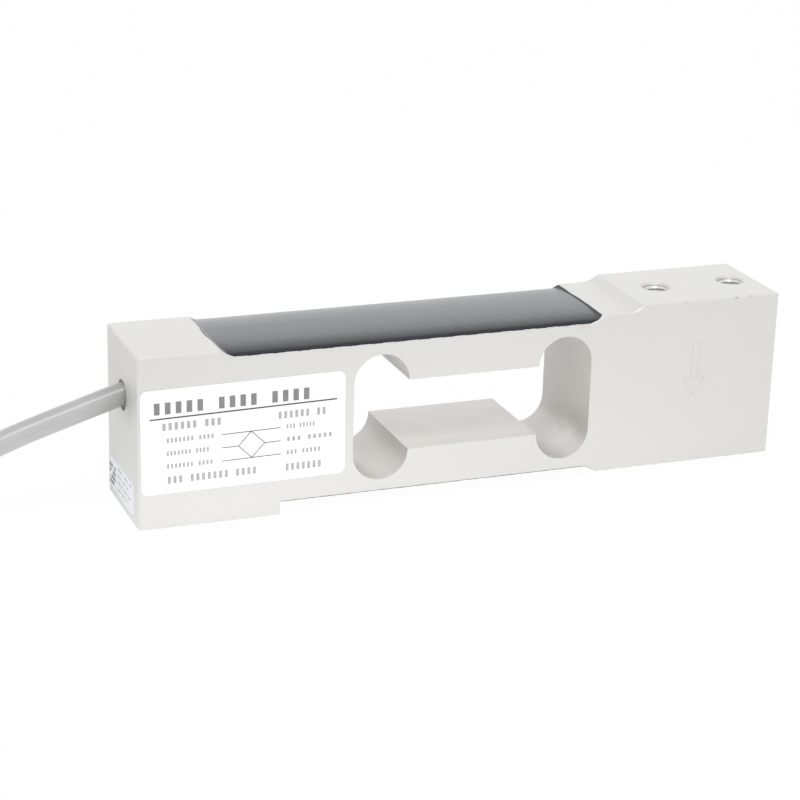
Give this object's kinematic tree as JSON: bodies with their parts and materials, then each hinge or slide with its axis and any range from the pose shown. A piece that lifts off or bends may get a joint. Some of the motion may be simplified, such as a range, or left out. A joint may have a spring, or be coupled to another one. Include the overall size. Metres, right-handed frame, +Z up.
{
  "type": "single point load cell",
  "caption": "Aluminium single point load cell with a dog-bone window, coated gauge recesses, tapped mounting holes and a tied grey cable with bare leads.",
  "frame": {"origin": "on the foot's mounting face, below the middle of the beam's length and width", "axes": "+X along the beam from the cable end to the loading end, +Z up out of the loading platform, the labelled face looks along -Y"},
  "size_m": [0.3076, 0.0464, 0.04],
  "materials": {
    "beam_metal": "matte anodised milled aluminium",
    "coating": "glossy black protective coating",
    "gauge_film": "amber polyimide gauge film",
    "board": "green solder-masked board",
    "wire_enamel": "enamelled copper wire",
    "solder": "bright solder",
    "core_plastic": "wire insulation and core wrap",
    "chip": "chip resistor",
    "sealant": "dark sealant",
    "cable_jacket": "mid grey soft PVC jacket",
    "tie_plastic": "black plastic-covered twist tie",
    "sleeve_plastic": "black heat-shrink sleeve",
    "lead_red": "red insulation",
    "lead_black": "black insulation",
    "lead_green": "green insulation",
    "lead_white": "white insulation",
    "lead_blue": "blue insulation",
    "lead_brown": "brown insulation",
    "tinned_copper": "tinned copper strands",
    "label_film": "white printed label film"
  },
  "bodies": {
    "root": {"beam_body": "beam_metal", "top_coating": "coating", "bottom_coating": "coating", "strain_gauge_top_left": "gauge_film", "strain_gauge_top_right": "gauge_film", "strain_gauge_bottom_left": "gauge_film", "strain_gauge_bottom_right": "gauge_film", "terminal_board_top": "board", "terminal_board_bottom": "board", "gauge_wires_top": "wire_enamel", "gauge_wires_bottom": "wire_enamel", "link_wires": "wire_enamel", "solder_joints_top": "solder", "solder_joints_bottom": "solder", "inner_leads": "core_plastic", "lead_bundle": "core_plastic", "span_resistors": "chip", "zero_resistor": "chip", "cable_seal": "sealant", "cable_tube": "cable_jacket", "cable_hank": "cable_jacket", "cable_tail": "cable_jacket", "hank_tie_front": "tie_plastic", "hank_tie_rear": "tie_plastic", "end_sleeve": "sleeve_plastic", "lead_red": "lead_red", "lead_black": "lead_black", "lead_green": "lead_green", "lead_white": "lead_white", "lead_blue": "lead_blue", "lead_brown": "lead_brown", "shield_wire": "tinned_copper", "tinned_tips": "tinned_copper", "front_label": "label_film", "end_label": "label_film"}
  },
  "joints": []
}
